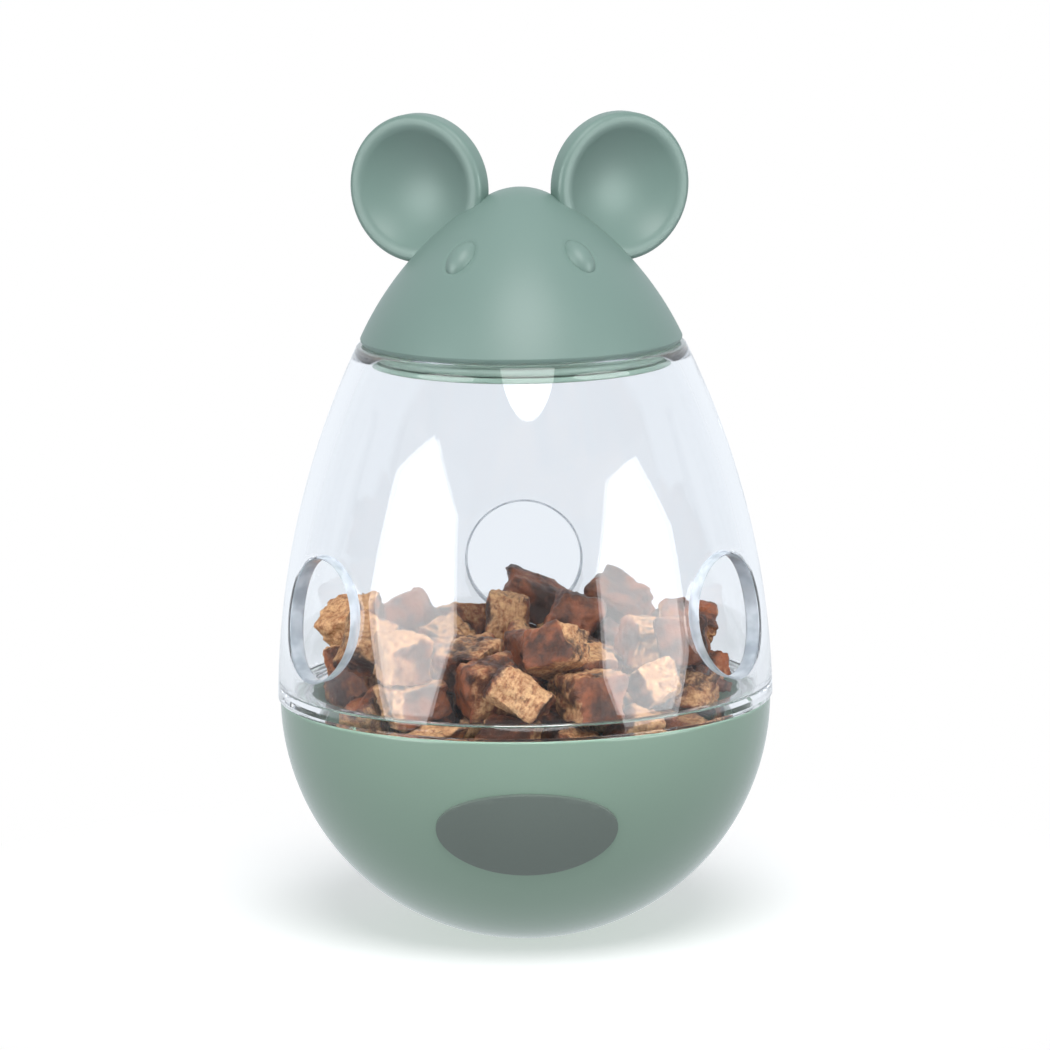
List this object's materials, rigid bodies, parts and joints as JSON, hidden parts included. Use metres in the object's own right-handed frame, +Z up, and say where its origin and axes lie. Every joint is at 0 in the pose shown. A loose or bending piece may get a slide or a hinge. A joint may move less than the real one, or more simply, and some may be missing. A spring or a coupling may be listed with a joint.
{
  "type": "treat dispensing mouse toy",
  "caption": "Roly-poly pet toy with a weighted round base, a clear hollow dome with round treat outlets and a mouse head lid that pulls off for filling.",
  "frame": {"origin": "centre of the flat foot, on the surface that the toy stands on", "axes": "+Z up along the toy's axis, -Y out of the mouse's face, +X to the right of someone who looks at the face"},
  "size_m": [0.0782, 0.0782, 0.1296],
  "materials": {
    "base_plastic": "glossy moulded sage green",
    "floor_plastic": "moulded sage green, food side smooth",
    "ballast_iron": "rough cast",
    "screw_steel": "zinc plated",
    "badge_plastic": "satin grey, blank",
    "seal_silicone": "translucent silicone",
    "clear_plastic": "clear, polished",
    "collar_plastic": "moulded sage green",
    "head_plastic": "fine satin, sage green"
  },
  "bodies": {
    "base": {"base_bowl": "base_plastic", "ballast_weight": "ballast_iron", "treat_floor": "floor_plastic", "floor_screws": "screw_steel", "front_badge": "badge_plastic"},
    "rim_ring": {"rim_seal": "seal_silicone"},
    "dome": {"clear_dome": "clear_plastic"},
    "neck_ring": {"neck_seal": "seal_silicone"},
    "head": {"head_plug": "collar_plastic", "head_shell": "head_plastic", "ear_left": "head_plastic", "ear_right": "head_plastic", "eye_left": "head_plastic", "eye_right": "head_plastic"}
  },
  "joints": [
    {"name": "dome_twist", "type": "hinge", "parent": "base", "child": "rim_ring", "pos_m": [0, 0, 0.03786], "axis": [0, 0, 1], "range_deg": [0, 150]},
    {"name": "dome_rise", "type": "slide", "parent": "rim_ring", "child": "dome", "axis": [0, 0, 1], "range_m": [0, 0.0063]},
    {"name": "head_lift", "type": "slide", "parent": "dome", "child": "neck_ring", "axis": [0, 0, 1], "range_m": [0, 0.06]},
    {"name": "head_turn", "type": "hinge", "parent": "neck_ring", "child": "head", "pos_m": [0, 0, 0.0939], "axis": [0, 0, 1], "continuous": true}
  ],
  "couplings": [
    {"joint": "dome_rise", "follows": "dome_twist", "m_per_rad": 0.0023873}
  ]
}
